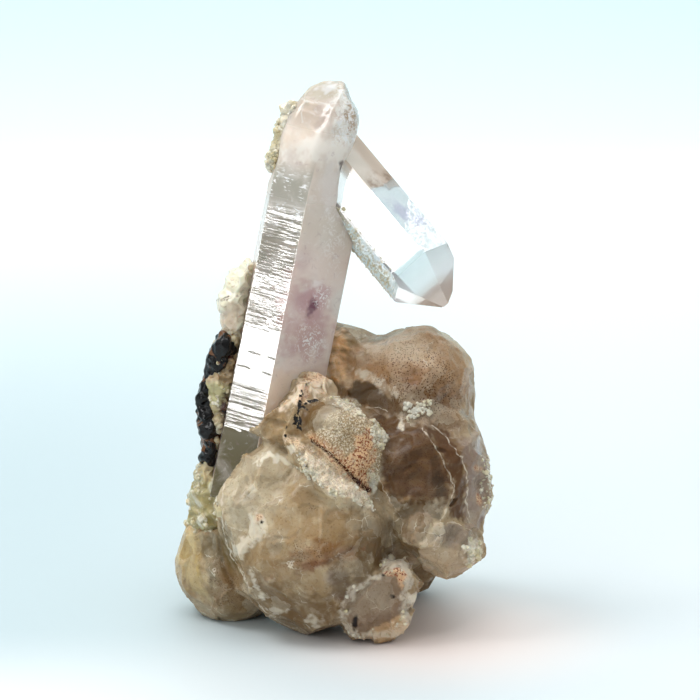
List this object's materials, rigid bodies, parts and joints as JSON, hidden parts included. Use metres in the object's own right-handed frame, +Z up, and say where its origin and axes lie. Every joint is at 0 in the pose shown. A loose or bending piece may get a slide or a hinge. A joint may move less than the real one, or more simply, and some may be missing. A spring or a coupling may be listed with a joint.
{
  "type": "amethyst on calcite specimen",
  "caption": "Mineral specimen: a long pale amethyst crystal leaning in a cluster of rounded calcite lobes, crossed near its tip by a clear quartz crystal that points down.",
  "frame": {"origin": "centre of the bounding box in plan, on the flat that the specimen rests on", "axes": "+Z up along the standing height, +X to the right and +Y to the back as seen from the front, where the second crystal points down to the right"},
  "size_m": [0.047, 0.0388, 0.0788],
  "materials": {
    "amethyst": "clear to milky, pale lilac, bright faces",
    "calcite": "translucent, waxy, smoky to tan, with rust stains",
    "drusy_quartz": "sugary, cream to tan",
    "iron_oxide": "black, lumpy, half-gloss"
  },
  "bodies": {
    "root": {"amethyst_crystals": "amethyst", "calcite_matrix": "calcite", "drusy_crust": "drusy_quartz", "iron_oxide_skin": "iron_oxide"}
  },
  "joints": []
}
